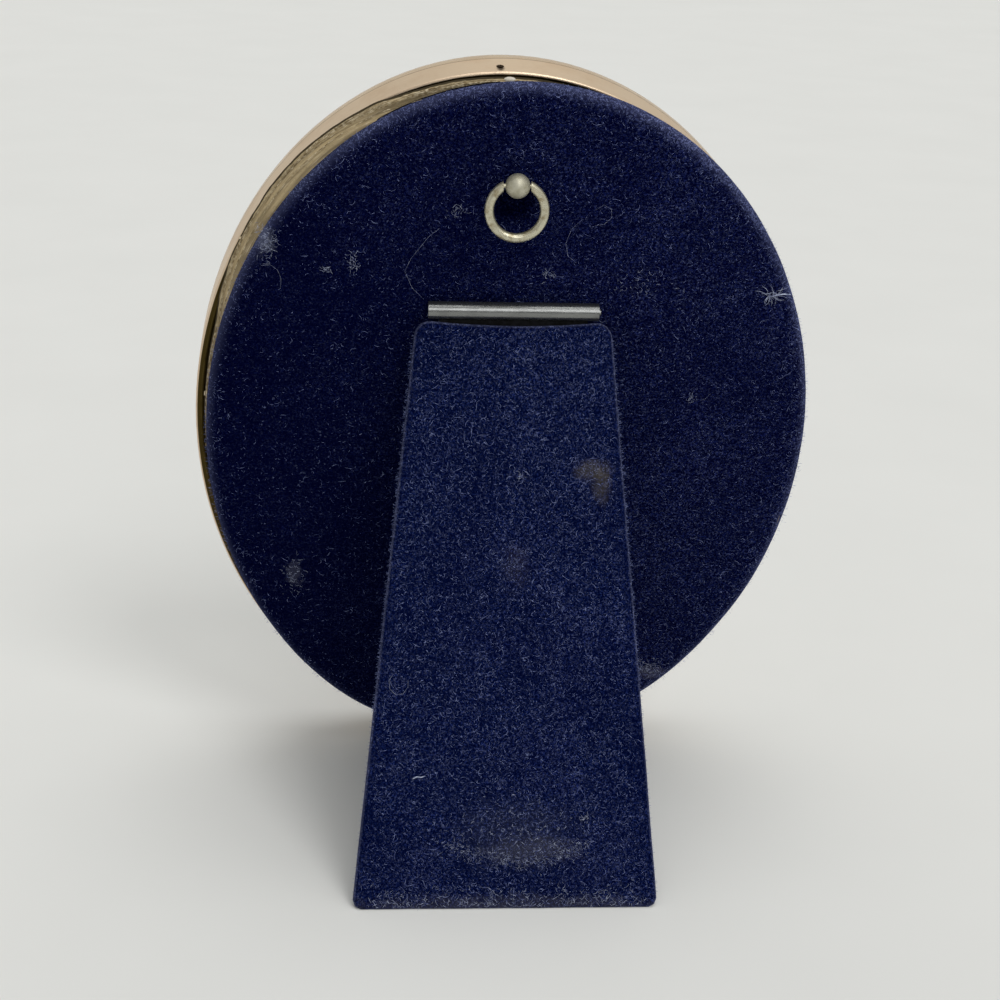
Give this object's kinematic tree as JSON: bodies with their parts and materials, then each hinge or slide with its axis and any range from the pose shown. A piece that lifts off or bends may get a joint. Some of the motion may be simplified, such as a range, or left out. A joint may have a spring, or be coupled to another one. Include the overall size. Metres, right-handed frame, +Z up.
{
  "type": "picture frame",
  "caption": "Oval metal picture frame with glass, a velvet-covered pull-out back, a folding hinged strut to stand on and a wire hanging ring.",
  "frame": {"origin": "centre of the standing frame's box, on the surface that it stands on", "axes": "+Z up, -Y the way the picture faces, +X to the viewer's right seen from the front"},
  "size_m": [0.1042, 0.069, 0.1343],
  "materials": {
    "champagne_metal": "satin, finely brushed round the band, champagne coloured",
    "gilt_metal": "polished gilt, browned inside",
    "clear_glass": "clear",
    "blank_card": "matt, aged cream",
    "grey_card": "matt",
    "lining_paper": "matt dark blue paper",
    "strawboard": "rough cut, fibrous, tan",
    "back_velvet": "short pile navy velvet, linty and worn at the edge",
    "strut_velvet": "short pile navy velvet, rubbed near the foot",
    "dark_steel": "dark gunmetal, polished along the barrel",
    "nickel_wire": "satin nickel, yellowed",
    "plain_brass": "dull"
  },
  "bodies": {
    "frame": {"front_moulding": "champagne_metal", "sight_bead": "gilt_metal", "side_band": "champagne_metal", "back_lip": "gilt_metal", "glass_pane": "clear_glass", "picture_card": "blank_card", "backing_card": "grey_card"},
    "back": {"inner_lining": "lining_paper", "plug_board_front": "strawboard", "plug_board_rear": "strawboard", "seat_board_inner": "strawboard", "seat_board_outer": "strawboard", "back_board": "strawboard", "back_velvet": "back_velvet", "hinge_barrel": "dark_steel", "ring_stud": "nickel_wire", "stud_washer": "plain_brass"},
    "strut": {"strut_board": "strawboard", "strut_velvet": "strut_velvet", "strut_lining": "lining_paper", "strut_leaf": "dark_steel", "hinge_pin": "dark_steel", "strut_rivets": "plain_brass"},
    "ring": {"hanging_ring": "nickel_wire"}
  },
  "joints": [
    {"name": "back_slide", "type": "slide", "parent": "frame", "child": "back", "axis": [0, 0.9613, -0.2756], "range_m": [0, 0.012]},
    {"name": "strut_fold", "type": "hinge", "parent": "back", "child": "strut", "pos_m": [-0.00035, 0.00547, 0.09397], "axis": [-1, 0, 0], "range_deg": [0, 32.4]},
    {"name": "ring_swing", "type": "hinge", "parent": "back", "child": "ring", "pos_m": [0.0003, 0.01267, 0.11583], "axis": [1, 0, 0], "range_deg": [-25, 170]}
  ]
}
